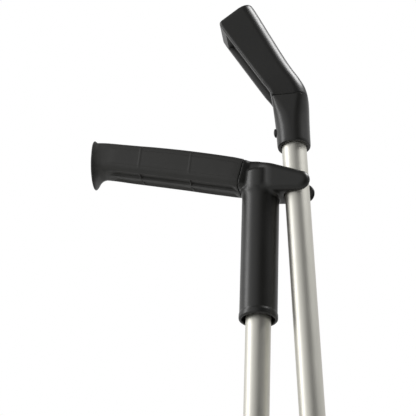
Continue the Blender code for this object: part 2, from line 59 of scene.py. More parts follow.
# Hand-grip pole: its axis is the frame's Z axis.
TUBE_R = node_high("A_upper_tube").x
LEG_R = node_high("A_leg_tube").y
SLEEVE_R = 15.0 * MM
SLEEVE_BOTTOM = node_low("A_handle").z
SLEEVE_TOP = SLEEVE_BOTTOM + 127.9 * MM   # its rounded shoulder, below the bar's top
TUBE_BORE_R = 10.3 * MM         # bore of the sleeve and of the socket, over the tubes
SLEEVE_BORE_TOP = 903.5 * MM
SLEEVE_MOUTH_R = 13.2 * MM      # wider, hollow mouth below the bore
SLEEVE_MOUTH_DEPTH = 8.0 * MM
GRIP_Z = 900.0 * MM             # the grip's axis crosses the pole's axis here
GRIP_TILT = math.radians(12.5)
GRIP_START = 15.2 * MM
GRIP_END = 143.0 * MM
GRIP_RIDGES = (57.6, 100.9)     # mould ridges along the grip, in millimetres
END_CAP_SEAT = 3.0 * MM         # depth of the seat in the grip's free end
PRONG_HALF_WIDTH = node_high("A_handle").y
PRONG_GAP_R = 10.5 * MM         # half the gap between the prongs
BAR_ROOT = (-4.0, 899.6)        # (x, z) of the bar's round ends, and their radii, in millimetres
BAR_ROOT_R = 14.6
BAR_TIP = (33.2, 892.0)
BAR_TIP_R = 9.3
HANDLE_SCREW_Z = 806.0 * MM
SCREW_HOLE_R = 2.2 * MM
SCREW_SEAT_R = 3.9 * MM         # round recess for a screw's head
SCREW_SEAT_DEPTH = 2.6 * MM

# Rest pole: it leans in the clip and is turned a little about its own axis.
CLIP = Vector((29.3 * MM, 0.0, 892.7 * MM))
LEAN = math.radians(4.0)
REST_TURN = math.radians(5.0)
POLE_B = (Matrix.Translation(CLIP) @ Matrix.Rotation(-LEAN, 4, "Y")
          @ Matrix.Rotation(REST_TURN, 4, "Z"))
POLE_A = Matrix.Identity(4)
TIP_BASE_R = 19.0 * MM
BASE_B = -(CLIP.z - TIP_BASE_R * math.sin(LEAN)) / math.cos(LEAN)
REST_BEND = math.radians(26.0)
REST_END_TURN = math.radians(10.0)   # extra tilt of the arm rest's end
REST_END_R = 4.6                # rounding and height of that end, in millimetres
REST_END_H = 165.7
REST_RECESS_DEPTH = 4.0         # recess in the arm rest's underside, in millimetres
SOCKET_BOTTOM = 35.8 * MM
SOCKET_TOP = 79.7 * MM
SOCKET_BORE_DEPTH = 38.0 * MM
REST_BUTTON_H = 51.0 * MM
REST_BUTTON_HOLE_R = 3.9 * MM

# Tube walls, and places measured along each pole from the foot of its rubber tip.
TUBE_WALL = 1.4 * MM
UPPER_TUBE_BOTTOM = 400.0 * MM
LOWEST_HOLE = 460.0 * MM
HOLE_PITCH = 25.0 * MM
HOLE_COUNT = 7
HOLE_R = 3.4 * MM
BUTTON_HEIGHT = {"A": 560.0 * MM, "B": 610.0 * MM}
LEG_BOTTOM = 12.1 * MM
LEG_ABOVE_BUTTON = 42.0 * MM
COLLAR_BOTTOM = 389.0 * MM

# Camera, and how bright the room is at each angle to the right of it, in degrees.
CAMERA_AZIMUTH = math.radians(13.0)
CAMERA_ELEVATION = math.radians(-27.4)
CAMERA_ROLL = math.radians(1.928)
CAMERA_TARGET = Vector((-43.14 * MM, 0.0, 879.2 * MM))
CAMERA_DISTANCE = 1.61147
CAMERA_LENS = 173.08
ROOM_LEVELS = ((-180, 0.66), (-130, 0.66), (-95, 0.58), (-65, 0.60), (-40, 0.66), (-15, 0.44),
               (5, 0.10), (25, 0.04), (45, 0.13), (70, 0.32), (100, 0.46), (140, 0.56), (179, 0.66))


# ---------------------------------------------------------------- node trees

def new_material(name):
    """Material with its node tree and its Principled shader."""
    mat = bpy.data.materials.new(name)
    mat.use_nodes = True
    tree = mat.node_tree
    shader = tree.nodes["Principled BSDF"]
    return mat, tree, shader


def add(tree, kind, **values):
    """New node; each value goes to the input of that name, or else to the property."""
    node = tree.nodes.new(kind)
    for key, value in values.items():
        if key in node.inputs:
            node.inputs[key].default_value = value
        else:
            setattr(node, key, value)
    return node


def coordinates(tree, scale):
    """Object coordinates, stretched by scale along each axis."""
    source = add(tree, "ShaderNodeTexCoord")
    mapping = add(tree, "ShaderNodeMapping", Scale=scale)
    tree.links.new(source.outputs["Object"], mapping.inputs["Vector"])
    return mapping.outputs["Vector"]


def noise(tree, vector, scale, detail=4.0, roughness=0.55):
    """Height of a noise texture."""
    node = add(tree, "ShaderNodeTexNoise", Scale=scale, Detail=detail, Roughness=roughness)
    tree.links.new(vector, node.inputs["Vector"])
    return node.outputs["Fac"]


def remap(tree, value, low, high, start=0.3, stop=0.7):
    """Low at start and below, high at stop and above."""
    node = add(tree, "ShaderNodeMapRange")
    node.inputs["From Min"].default_value = start
    node.inputs["From Max"].default_value = stop
    node.inputs["To Min"].default_value = low
    node.inputs["To Max"].default_value = high
    tree.links.new(value, node.inputs["Value"])
    return node.outputs["Result"]


def colour_ramp(tree, value, stops):
    """Colour that follows the value through (position, colour) stops."""
    node = add(tree, "ShaderNodeValToRGB")
    ramp = node.color_ramp
    while len(ramp.elements) < len(stops):
        ramp.elements.new(0.5)
    for element, (position, colour) in zip(ramp.elements, stops):
        element.position = position
        element.color = (*colour, 1.0)
    tree.links.new(value, node.inputs["Fac"])
    return node.outputs["Color"]


def bump(tree, heights, shader):
    """Chain of bumps: (height socket, distance in metres, strength)."""
    normal = None
    for height, distance, strength in heights:
        node = add(tree, "ShaderNodeBump", Distance=distance, Strength=strength)
        tree.links.new(height, node.inputs["Height"])
        if normal is not None:
            tree.links.new(normal, node.inputs["Normal"])
        normal = node.outputs["Normal"]
    tree.links.new(normal, shader.inputs["Normal"])


def anodised_tube(name):
    """Satin anodised aluminium, drawn lengthwise, with faint handling marks."""
    mat, tree, shader = new_material(name)
    shader.inputs["Metallic"].default_value = 1.0
    drawn = noise(tree, coordinates(tree, (1.0, 1.0, 0.012)), 2600.0, 5.0, 0.6)
    broad = noise(tree, coordinates(tree, (1.0, 1.0, 0.05)), 260.0, 3.0)
    grain = noise(tree, coordinates(tree, (1.0, 1.0, 1.0)), 5200.0, 2.0)
    smudge = noise(tree, coordinates(tree, (1.0, 1.0, 0.5)), 38.0, 5.0, 0.65)
    tint = colour_ramp(tree, broad, [(0.30, (0.675, 0.663, 0.605)), (0.70, (0.735, 0.722, 0.660))])
    tree.links.new(tint, shader.inputs["Base Color"])
    tree.links.new(remap(tree, smudge, 0.44, 0.52), shader.inputs["Roughness"])
    bump(tree, [(drawn, 0.00002, 0.5), (grain, 0.00001, 0.35)], shader)
    return mat


def moulded_plastic(name, dark, light, rough, texture=2400.0, depth=0.00001):
    """Moulded plastic: fine spark-eroded texture, flow marks, and a few rubbed patches."""
    mat, tree, shader = new_material(name)
    shader.inputs["IOR"].default_value = 1.56
    even = (1.0, 1.0, 1.0)
    fine = noise(tree, coordinates(tree, even), texture, 3.0, 0.6)
    flow = noise(tree, coordinates(tree, (1.0, 1.0, 0.35)), 70.0, 4.0)
    rubbed = noise(tree, coordinates(tree, even), 42.0, 6.0, 0.6)
    tint = colour_ramp(tree, flow, [(0.30, dark), (0.72, light)])
    tree.links.new(tint, shader.inputs["Base Color"])
    tree.links.new(remap(tree, rubbed, *rough), shader.inputs["Roughness"])
    bump(tree, [(fine, depth, 0.55), (flow, 0.00005, 0.1)], shader)
    return mat


def tyre_rubber(name):
    """Matt black rubber, grey with floor dust near the tread."""
    mat, tree, shader = new_material(name)
    even = (1.0, 1.0, 1.0)
    pores = noise(tree, coordinates(tree, even), 2300.0, 4.0, 0.65)
    dust = noise(tree, coordinates(tree, even), 130.0, 6.0, 0.65)
    tint = colour_ramp(tree, dust, [(0.35, (0.016, 0.016, 0.015)), (0.60, (0.026, 0.025, 0.024)),
                                    (0.82, (0.085, 0.082, 0.076))])
    tree.links.new(tint, shader.inputs["Base Color"])
    tree.links.new(remap(tree, dust, 0.62, 0.88), shader.inputs["Roughness"])
    bump(tree, [(pores, 0.00006, 0.5), (dust, 0.0002, 0.2)], shader)
    return mat


def bright_steel(name, dark, light, rough):
    """Plated steel with fine scratches in all directions and slight clouding."""
    mat, tree, shader = new_material(name)
    shader.inputs["Metallic"].default_value = 1.0
    across = noise(tree, coordinates(tree, (1.0, 0.04, 1.0)), 4200.0, 3.0)
    along = noise(tree, coordinates(tree, (0.04, 1.0, 1.0)), 3600.0, 3.0)
    cloud = noise(tree, coordinates(tree, (1.0, 1.0, 1.0)), 420.0, 4.0)
    tint = colour_ramp(tree, cloud, [(0.3, dark), (0.7, light)])
    tree.links.new(tint, shader.inputs["Base Color"])
    tree.links.new(remap(tree, cloud, *rough), shader.inputs["Roughness"])
    bump(tree, [(across, 0.00001, 0.4), (along, 0.00001, 0.3)], shader)
    return mat


TUBE_FINISH = anodised_tube("anodised_tube")
LEG_FINISH = anodised_tube("anodised_leg")
HANDLE_FINISH = moulded_plastic("handle_plastic", (0.0055, 0.0055, 0.0045), (0.0090, 0.0090, 0.0075),
                                rough=(0.33, 0.40))
GRIP_FINISH = moulded_plastic("grip_plastic", (0.0165, 0.0161, 0.0143), (0.0225, 0.0220, 0.0195),
                              rough=(0.42, 0.54), texture=2200.0, depth=0.00002)
REST_FINISH = moulded_plastic("rest_plastic", (0.0065, 0.0064, 0.0055), (0.0100, 0.0098, 0.0085),
                              rough=(0.34, 0.42))
SOCKET_FINISH = moulded_plastic("socket_plastic", (0.0085, 0.0083, 0.0073), (0.0130, 0.0127, 0.0110),
                                rough=(0.30, 0.36))
COLLAR_FINISH = moulded_plastic("collar_plastic", (0.014, 0.014, 0.013), (0.022, 0.022, 0.020),
                                rough=(0.44, 0.56), texture=2200.0, depth=0.00005)
INNER_FINISH = moulded_plastic("inner_plastic", (0.16, 0.16, 0.155), (0.21, 0.21, 0.205),
                               rough=(0.42, 0.55), texture=3200.0, depth=0.00003)
RUBBER_FINISH = tyre_rubber("tip_rubber")
SCREW_FINISH = bright_steel("plated_steel", (0.56, 0.56, 0.57), (0.66, 0.66, 0.66), rough=(0.24, 0.36))
BUTTON_FINISH = bright_steel("button_steel", (0.60, 0.60, 0.60), (0.70, 0.70, 0.69), rough=(0.18, 0.28))
SPRING_FINISH = bright_steel("spring_steel", (0.33, 0.34, 0.36), (0.43, 0.43, 0.44), rough=(0.28, 0.42))


# ---------------------------------------------------------------- mesh tools

def mesh_piece(name, verts, faces, matrix, finish, crease=32.0):
    """Object from points in metres, smooth except where faces meet at more than crease degrees."""
    mesh = bpy.data.meshes.new(name)
    mesh.from_pydata([tuple(v) for v in verts], [], faces)
    mesh.validate()
    bm = bmesh.new()
    bm.from_mesh(mesh)
    bmesh.ops.recalc_face_normals(bm, faces=bm.faces)
    bm.to_mesh(mesh)
    bm.free()
    mesh.shade_smooth()
    mesh.set_sharp_from_angle(angle=math.radians(crease))
    ob = bpy.data.objects.new(name, mesh)
    bpy.context.scene.collection.objects.link(ob)
    ob.matrix_world = matrix
    ob.data.materials.append(finish)
    return ob


def place(ob, body, slot, *nodes):
    """The piece rides on a body and stands for CAD nodes, which it hides; slot is not used."""
    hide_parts(*nodes)
    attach(ob, body)


def ring_faces(rings, closed=False):
    """Quads between successive rings of equal length; closed joins the last to the first."""
    count = len(rings[0])
    pairs = list(zip(range(len(rings)), range(1, len(rings))))
    if closed:
        pairs.append((len(rings) - 1, 0))
    faces = []
    for low, high in pairs:
        for i in range(count):
            j = (i + 1) % count
            faces.append((low * count + i, low * count + j, high * count + j, high * count + i))
    return faces


def ring_solid(rings, closed=False):
    """Points and faces of a solid through rings, capped at both ends unless closed."""
    count = len(rings[0])
    points = np.concatenate(rings)
    faces = ring_faces(rings, closed)
    if not closed:
        faces.append(tuple(reversed(range(count))))
        last = (len(rings) - 1) * count
        faces.append(tuple(range(last, last + count)))
    return points, faces


def joined(solids):
    """One point and face list from several."""
    points, faces, start = [], [], 0
    for part_points, part_faces in solids:
        points.append(np.asarray(part_points, float))
        faces += [tuple(i + start for i in face) for face in part_faces]
        start += len(part_points)
    return np.concatenate(points), faces


def lathe_rings(profile, segments):
    """Rings about Z from (radius, height) pairs; a radius of zero becomes a pinhole."""
    angles = np.linspace(0.0, 2.0 * math.pi, segments, endpoint=False)
    rings = []
    for r, z in profile:
        r = max(r, 0.01 * MM)
        rings.append(np.stack([r * np.cos(angles), r * np.sin(angles), np.full(segments, z)], 1))
    return rings


def rounded(profile, radius, steps=4):
    """The closed profile with each corner turned into an arc of up to that radius."""
    points = [Vector(p) for p in profile]
    result = []
    for i, corner in enumerate(points):
        before = points[i - 1] - corner
        after = points[(i + 1) % len(points)] - corner
        if corner.x <= 0.0 or before.length == 0.0 or after.length == 0.0:
            result.append(tuple(corner))
            continue
        cut = min(radius, before.length * 0.45, after.length * 0.45)
        start = corner + before.normalized() * cut
        stop = corner + after.normalized() * cut
        for k in range(steps + 1):
            t = k / steps
            point = start * (1 - t) ** 2 + corner * 2 * t * (1 - t) + stop * t ** 2
            result.append(tuple(point))
    return result


def lathe(profile, segments, radius):
    """Solid of revolution through a profile that runs along the axis, with softened corners."""
    soft = rounded(profile, radius)
    start = next(i for i, (r, z) in enumerate(soft) if r <= 0.0 and soft[i - 1][0] <= 0.0)
    return ring_solid(lathe_rings(soft[start:] + soft[:start], segments))


def smooth_table(table, at):
    """Cubic interpolation of table rows (first column is the place) at the given places."""
    table = np.asarray(table, float)
    x, y = table[:, 0], table[:, 1:]
    slope = np.diff(y, axis=0) / np.diff(x)[:, None]
    tangent = np.zeros_like(y)
    tangent[0], tangent[-1] = slope[0], slope[-1]
    before, after = slope[:-1], slope[1:]
    same = before * after > 0.0
    tangent[1:-1] = np.where(same, 2.0 * before * after / np.where(same, before + after, 1.0), 0.0)
    at = np.clip(at, x[0], x[-1])
    i = np.clip(np.searchsorted(x, at, side="right") - 1, 0, len(x) - 2)
    h = (x[i + 1] - x[i])[:, None]
    t = ((at - x[i])[:, None]) / h
    return ((2 * t ** 3 - 3 * t ** 2 + 1) * y[i] + (t ** 3 - 2 * t ** 2 + t) * h * tangent[i]
            + (3 * t ** 2 - 2 * t ** 3) * y[i + 1] + (t ** 3 - t ** 2) * h * tangent[i + 1])


def cut(ob, cutters):
    """Subtract the cutter objects from a piece, then delete them."""
    for cutter in cutters:
        mod = ob.modifiers.new(cutter.name, "BOOLEAN")
        mod.operation = "DIFFERENCE"
        mod.object = cutter
        mod.solver = "EXACT"
    bpy.context.view_layer.update()
    depsgraph = bpy.context.evaluated_depsgraph_get()
    mesh = bpy.data.meshes.new_from_object(ob.evaluated_get(depsgraph))
    ob.modifiers.clear()
    ob.data = mesh
    mesh.shade_smooth()
    mesh.set_sharp_from_angle(angle=math.radians(32.0))
    for cutter in cutters:
        bpy.data.objects.remove(cutter)


def hole_cutter(name, matrix, radius, start, end):
    """Round cutter in a pole's own frame, from start to end."""
    start, end = Vector(start), Vector(end)
    turn = (end - start).to_track_quat("Z", "Y").to_matrix().to_4x4()
    length = (end - start).length
    points, faces = ring_solid(lathe_rings([(radius, 0.0), (radius, length)], 48))
    return mesh_piece(name, points, faces, matrix @ Matrix.Translation(start) @ turn, TUBE_FINISH)


# ---------------------------------------------------------------- tubes and legs

def tube_rings(radius, wall, bottom, top):
    """Closed wall section with small burr-free edges, split lengthwise for even shading."""
    inner, edge = radius - wall, 0.25 * MM
    outer_side = [(radius, z) for z in np.linspace(bottom + edge, top - edge, 24)]
    inner_side = [(inner, z) for z in np.linspace(top - edge, bottom + edge, 24)]
    profile = (outer_side + [(radius - edge, top), (inner + edge, top)] + inner_side
               + [(inner + edge, bottom), (radius - edge, bottom)])
    return ring_solid(lathe_rings(profile, 128), closed=True)


def upper_tubes():
    """Upper tubes with their adjustment holes, and the hole for a screw or the push button."""
    top_a = node_high("A_upper_tube").z
    top_b = SOCKET_BOTTOM + SOCKET_BORE_DEPTH - 0.3 * MM
    for side, pole, base, top, body in (("A", POLE_A, 0.0, top_a, "grip_pole"),
                                        ("B", POLE_B, BASE_B, top_b, "rest_pole")):
        points, faces = tube_rings(TUBE_R, TUBE_WALL, base + UPPER_TUBE_BOTTOM, top)
        tube = mesh_piece(side + "_fine_upper_tube", points, faces, pole, TUBE_FINISH)
        cutters = []
        for i in range(HOLE_COUNT):
            z = base + LOWEST_HOLE + i * HOLE_PITCH
            cutters.append(hole_cutter("hole", pole, HOLE_R, (0.0, 0.0, z), (2 * TUBE_R, 0.0, z)))
        if side == "A":
            radius, z, away = SCREW_HOLE_R, HANDLE_SCREW_Z, (0.0, 2 * TUBE_R)
        else:
            radius, z, away = REST_BUTTON_HOLE_R, REST_BUTTON_H, (-2 * TUBE_R, 0.0)
        cutters.append(hole_cutter("hole", pole, radius, (0.0, 0.0, z), (*away, z)))
        cut(tube, cutters)
        place(tube, body, "tube", side + "_upper_tube")


def leg_tubes():
    """Telescoping legs, each with one hole for its snap button."""
    for side, pole, base, body in (("A", POLE_A, 0.0, "grip_pole_leg"),
                                   ("B", POLE_B, BASE_B, "rest_pole_leg")):
        button = base + BUTTON_HEIGHT[side]
        points, faces = tube_rings(LEG_R, TUBE_WALL, base + LEG_BOTTOM, button + LEG_ABOVE_BUTTON)
        tube = mesh_piece(side + "_fine_leg_tube", points, faces, pole, LEG_FINISH)
        cut(tube, [hole_cutter("hole", pole, HOLE_R, (0.0, 0.0, button), (2 * LEG_R, 0.0, button))])
        place(tube, body, "leg", side + "_leg_tube")


def rubber_tips():
    """Ferrules with a ringed neck, a flared foot and a grooved tread."""
    height, bore = 52.0, 8.3
    neck = [(bore, height), (11.9, height), (12.2, 45.0), (11.2, 43.6), (11.2, 40.0), (12.4, 38.4),
            (12.4, 33.0), (11.6, 31.6), (11.6, 29.0), (11.8, 27.0), (12.8, 21.0), (14.8, 15.0),
            (17.6, 10.4), (18.8, 8.4), (19.0, 6.5), (19.0, 4.9), (18.5, 4.5), (18.5, 3.9),
            (19.0, 3.5), (19.0, 0.8), (18.2, 0.0)]
    tread = []
    for outer in (16.0, 12.8, 9.8, 6.6):
        tread += [(outer, 0.0), (outer - 0.5, 1.6), (outer - 2.0, 1.6), (outer - 2.5, 0.0)]
    profile = neck + tread + [(0.0, 0.0), (0.0, 10.0), (bore, 10.0)]
    profile = [(r * MM, z * MM) for r, z in profile]
    for side, pole, base, body in (("A", POLE_A, 0.0, "grip_pole_leg"),
                                   ("B", POLE_B, BASE_B, "rest_pole_leg")):
        points, faces = lathe(profile, 128, 0.7 * MM)
        points = points + np.array((0.0, 0.0, base))
        tip = mesh_piece(side + "_fine_rubber_tip", points, faces, pole, RUBBER_FINISH, 50.0)
        place(tip, body, "rubber", side + "_rubber_tip")


def locking_collars():
    """Round nuts with twelve finger flutes that run out before both ends."""
    flutes, segments, height = 12, 216, 40.0
    outer, bore_wide, bore_narrow = 15.6, 12.7, 8.3
    angles = np.linspace(0.0, 2.0 * math.pi, segments, endpoint=False)
    dip = np.clip(np.cos(flutes * angles), 0.0, 1.0) ** 0.8

    def ring(radius, z, flute=0.0):
        r = radius - flute * dip
        return np.stack([r * np.cos(angles), r * np.sin(angles), np.full(segments, z)], 1) * MM

    rings = [ring(bore_narrow, 0.4), ring(bore_narrow + 0.4, 0.0), ring(outer - 1.6, 0.0)]
    for step in range(1, 7):
        turn = math.radians(15.0 * step)
        rings.append(ring(outer - 1.6 + 1.6 * math.sin(turn), 1.6 - 1.6 * math.cos(turn)))
    for z in np.linspace(3.0, height - 3.0, 30):
        fade = min(1.0, (z - 2.4) / 3.4, (height - 2.4 - z) / 3.4)
        rings.append(ring(outer, z, 0.9 * math.sin(0.5 * math.pi * max(0.0, fade))))
    for step in range(6, 0, -1):
        turn = math.radians(15.0 * step)
        rings.append(ring(outer - 1.6 + 1.6 * math.sin(turn), height - 1.6 + 1.6 * math.cos(turn)))
    rings += [ring(bore_wide + 0.4, height), ring(bore_wide, height - 0.4), ring(bore_wide, 10.5),
              ring(bore_narrow, 9.0)]
    for side, pole, base, body in (("A", POLE_A, 0.0, "grip_pole_collar"),
                                   ("B", POLE_B, BASE_B, "rest_pole_collar")):
        points, faces = ring_solid(rings, closed=True)
        points = points + np.array((0.0, 0.0, base + COLLAR_BOTTOM))
        collar = mesh_piece(side + "_fine_collar", points, faces, pole, COLLAR_FINISH, 38.0)
        place(collar, body, "collar", side + "_locking_collar")


def domed_pin(radius, start, tip, dome, segments=48):
    """Pin along +Z from start to a domed tip."""
    profile = [(0.0, tip)]
    for i in range(1, 13):
        angle = math.radians(7.5 * i)
        profile.append((radius * math.sin(angle), tip - dome + dome * math.cos(angle)))
    profile += [(radius, tip - dome - 0.2 * MM), (radius, start), (0.0, start)]
    return ring_solid(lathe_rings(profile, segments))


def snap_buttons():
    """Domed steel pins that stand out of the upper tubes."""
    start, tip, dome = 4.8 * MM, TUBE_R + 3.0 * MM, 1.8 * MM
    for side, pole, base, body in (("A", POLE_A, 0.0, "grip_pole_button"),
                                   ("B", POLE_B, BASE_B, "rest_pole_button")):
        points, faces = domed_pin(3.0 * MM, start, tip, dome)
        spot = pole @ Matrix.Translation((0.0, 0.0, base + BUTTON_HEIGHT[side]))
        turn = Matrix.Rotation(math.radians(90.0), 4, "Y")
        pin = mesh_piece(side + "_fine_snap_button", points, faces, spot @ turn, BUTTON_FINISH)
        place(pin, body, "button", side + "_snap_button")


def rest_button():
    """Domed push button of the socket."""
    points, faces = domed_pin(3.6 * MM, 6.8 * MM, 15.8 * MM, 1.4 * MM)
    spot = POLE_B @ Matrix.Translation((0.0, 0.0, REST_BUTTON_H))
    turn = Matrix.Rotation(math.radians(-90.0), 4, "Y")
    pin = mesh_piece("B_fine_rest_button", points, faces, spot @ turn, SOCKET_FINISH)
    place(pin, "rest_button", "rest_button", "B_rest_button")


# ---------------------------------------------------------------- handle moulding

def smooth_min(a, b, blend):
    """Smaller of two distances, with their meeting line filleted over blend."""
    h = np.clip(0.5 + 0.5 * (b - a) / blend, 0.0, 1.0)
    return b * (1.0 - h) + a * h - blend * h * (1.0 - h)


def smooth_max(a, b, blend):
    """Larger of two distances, filleted in the same way."""
    return -smooth_min(-a, -b, blend)


def hump(x, centre, half_width):
    """Smooth rise of 1 at centre, falling to 0 at half_width to each side."""
    t = np.clip(np.abs(x - centre) / half_width, 0.0, 1.0)
    return (1.0 - t * t) ** 2


def step_up(x, start, stop):
    """Smooth rise from 0 at start to 1 at stop."""
    t = np.clip((x - start) / (stop - start), 0.0, 1.0)
    return t * t * (3.0 - 2.0 * t)


def tapered_bar(x, z, start, start_r, end, end_r):
    """Distance to a flat bar with round ends of two radii."""
    length = math.hypot(end[0] - start[0], end[1] - start[1])
    ux, uz = (end[0] - start[0]) / length, (end[1] - start[1]) / length
    side = np.abs((z - start[1]) * ux - (x - start[0]) * uz)
    along = (x - start[0]) * ux + (z - start[1]) * uz
    slope = (start_r - end_r) / length
    level = math.sqrt(1.0 - slope * slope)
    k = level * along - slope * side
    return np.where(k < 0.0, np.hypot(side, along) - start_r,
                    np.where(k > level * length, np.hypot(side, along - length) - end_r,
                             side * level + along * slope - start_r))


def grip_axes(x, z):
    """Distance along the grip's axis from the pole, and height square to it, in millimetres."""
    c, s = math.cos(GRIP_TILT), math.sin(GRIP_TILT)
    rise = z - GRIP_Z / MM
    return -x * c + rise * s, x * s + rise * c


def superellipse_field(a, b, half_a, half_b, power):
    """Roughly the distance to a rounded rectangle."""
    reach = (np.abs(a / half_a) ** power + np.abs(b / half_b) ** power) ** (1.0 / power)
    return (reach - 1.0) * 0.5 * (half_a + half_b)


def handle_field(p):
    """Distance to the handle moulding in millimetres: sleeve, shoulder and two-pronged clip."""
    x, y, z = p[:, 0], p[:, 1], p[:, 2]
    low, high = SLEEVE_BOTTOM / MM, SLEEVE_TOP / MM
    radius = SLEEVE_R / MM
    r = np.hypot(x, y)
    sleeve = smooth_max(smooth_max(r - radius, z - high, 3.4), low - z, 1.6)
    lip = smooth_max(r - radius - 0.15, np.abs(z - low - 2.2) - 2.2, 1.6)
    body = smooth_min(sleeve, lip, 1.6)

    # The bar: narrower beside the grip, with broader fillets underneath than on top.
    half_width = PRONG_HALF_WIDTH / MM - 3.6 * (1.0 - step_up(x, -4.0, 12.0))
    underneath = step_up(-z, -893.0, -886.0)
    bar = tapered_bar(x, z, BAR_ROOT, BAR_ROOT_R, BAR_TIP, BAR_TIP_R)
    bar = smooth_max(bar, -x - 9.0, 4.0)
    bar = smooth_max(bar, np.abs(y) - half_width, 6.5)
    body = smooth_min(body, bar, 1.0 + 2.0 * underneath)

    # The squarish shoulder that the grip cover meets.
    along, up = grip_axes(x, z)
    widening = step_up(along, 7.5, 14.5)
    shoulder = superellipse_field(up, y, 12.6, 11.6 + 2.2 * widening, 4.8 + 1.2 * widening)
    shoulder = smooth_max(shoulder, along - (GRIP_START / MM - 0.3), 0.8)
    shoulder = smooth_max(shoulder, 2.0 - along, 3.0)
    body = smooth_min(body, shoulder, 1.6 + 6.5 * underneath)

    # Bore, mouth, the gap between the prongs, and the screw's hole and seat are taken out.
    bore = np.maximum(r - TUBE_BORE_R / MM, z - SLEEVE_BORE_TOP / MM)
    mouth = np.maximum(r - SLEEVE_MOUTH_R / MM, z - low - SLEEVE_MOUTH_DEPTH / MM)
    body = smooth_max(body, -np.minimum(bore, mouth), 0.9)
    c, s = math.cos(LEAN), math.sin(LEAN)
    dx, dz = x - CLIP.x / MM, z - CLIP.z / MM
    across = dx * c + dz * s
    slot = np.where(across < 0.0, np.hypot(across, y), np.abs(y)) - PRONG_GAP_R / MM
    body = smooth_max(body, -slot, 2.2)
    from_screw = np.hypot(x, z - HANDLE_SCREW_Z / MM)
    hole = np.maximum(from_screw - SCREW_HOLE_R / MM, -y)
    seat = np.maximum(from_screw - SCREW_SEAT_R / MM, radius - SCREW_SEAT_DEPTH / MM - y)
    return smooth_max(body, -np.minimum(hole, seat), 0.6)


def gradient(field, p, step=0.05):
    """Slope of a field at each point, by central differences."""
    slopes = []
    for axis in range(3):
        shift = np.zeros(3)
        shift[axis] = step
        slopes.append((field(p + shift) - field(p - shift)) / (2.0 * step))
    return np.stack(slopes, 1)


def surface_net(field, low, high, step):
    """Quads on the zero level of a field, with their corners moved onto it."""
    axes = [np.arange(a, b + step, step) for a, b in zip(low, high)]
    grid = np.stack(np.meshgrid(*axes, indexing="ij"), -1)
    shape = grid.shape[:3]
    values = field(grid.reshape(-1, 3)).reshape(shape)
    inside = values < 0.0
    cells = np.zeros(tuple(n - 1 for n in shape), int)
    for i in (0, 1):
        for j in (0, 1):
            for k in (0, 1):
                cells += inside[i:shape[0] - 1 + i, j:shape[1] - 1 + j, k:shape[2] - 1 + k]
    used = (cells > 0) & (cells < 8)
    index = -np.ones(cells.shape, int)
    index[used] = np.arange(used.sum())
    corners = np.argwhere(used)
    points = np.array(low) + (corners + 0.5) * step
    for _ in range(8):
        slope = gradient(field, points)
        scale = np.maximum((slope ** 2).sum(1), 0.05)
        move = -(field(points) / scale)[:, None] * slope
        length = np.linalg.norm(move, axis=1, keepdims=True)
        points = points + move * np.minimum(1.0, 0.5 * step / np.maximum(length, 1e-9))
    faces = []
    for axis in range(3):
        first = [slice(None)] * 3
        second = [slice(None)] * 3
        first[axis], second[axis] = slice(0, -1), slice(1, None)
        crossing = inside[tuple(first)] != inside[tuple(second)]
        u, v = (axis + 1) % 3, (axis + 2) % 3
        for cell in np.argwhere(crossing):
            if cell[u] == 0 or cell[v] == 0:
                continue
            quad = []
            for du, dv in ((-1, -1), (0, -1), (0, 0), (-1, 0)):
                spot = cell.copy()
                spot[u] += du
                spot[v] += dv
                quad.append(int(index[tuple(spot)]))
            if not inside[tuple(cell)]:
                quad.reverse()
            faces.append(tuple(quad))
    return points, faces


def grip_frame():
    """Matrix from grip axes (up, depth, along) to the row frame."""
    c, s = math.cos(GRIP_TILT), math.sin(GRIP_TILT)
    return Matrix(((s, 0.0, -c, 0.0), (0.0, 1.0, 0.0, 0.0), (c, 0.0, s, GRIP_Z),
                   (0.0, 0.0, 0.0, 1.0)))


def superellipse_ring(half_up, half_depth, power, along, count=64):
    """Ring in grip axes: superellipse of (up, depth) at a distance along the grip."""
    t = np.linspace(0.0, 2.0 * math.pi, count, endpoint=False)
    c, s = np.cos(t), np.sin(t)
    reach = (np.abs(c) ** power + np.abs(s) ** power) ** (-1.0 / power)
    return np.stack([half_up * reach * c, half_depth * reach * s, np.full(count, along)], 1)


def handle():
    """Handle moulding on its own field's normals, with the core that fills the grip."""
    step = 0.8
    low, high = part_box("A_handle")
    start = np.array((-26.0, low.y / MM - 3.0, low.z / MM - 3.0))
    stop = np.array((high.x / MM + 3.0, high.y / MM + 3.0, high.z / MM + 6.0))
    net_points, net_faces = surface_net(handle_field, start, stop, step)
    core_rings = [superellipse_ring(9.0, 8.0, 2.4, s) * MM for s in (13.0, 20.0, 75.0, 131.0)]
    core_points, core_faces = ring_solid(core_rings)
    turn = np.array(grip_frame())
    core_points = core_points @ turn[:3, :3].T + turn[:3, 3]
    points, faces = joined([(net_points * MM, net_faces), (core_points, core_faces)])
    ob = mesh_piece("A_fine_handle", points, faces, POLE_A, HANDLE_FINISH, 60.0)
    slopes = gradient(handle_field, net_points)
    normals = [tuple(slope) for slope in slopes / np.linalg.norm(slopes, axis=1, keepdims=True)]
    normals += [tuple(vertex.normal) for vertex in ob.data.vertices[len(normals):]]
    ob.data.normals_split_custom_set_from_vertices(normals)
    place(ob, "grip_pole", "handle", "A_handle")


# ---------------------------------------------------------------- grip cover

def upright_ring(ring, share):
    """Ring in grip axes, slanted by a share of the tilt so that at 1 its plane is vertical."""
    up, depth, along = ring[:, 0], ring[:, 1], ring[:, 2]
    return np.stack([up, depth, along + share * up * math.tan(GRIP_TILT)], 1)


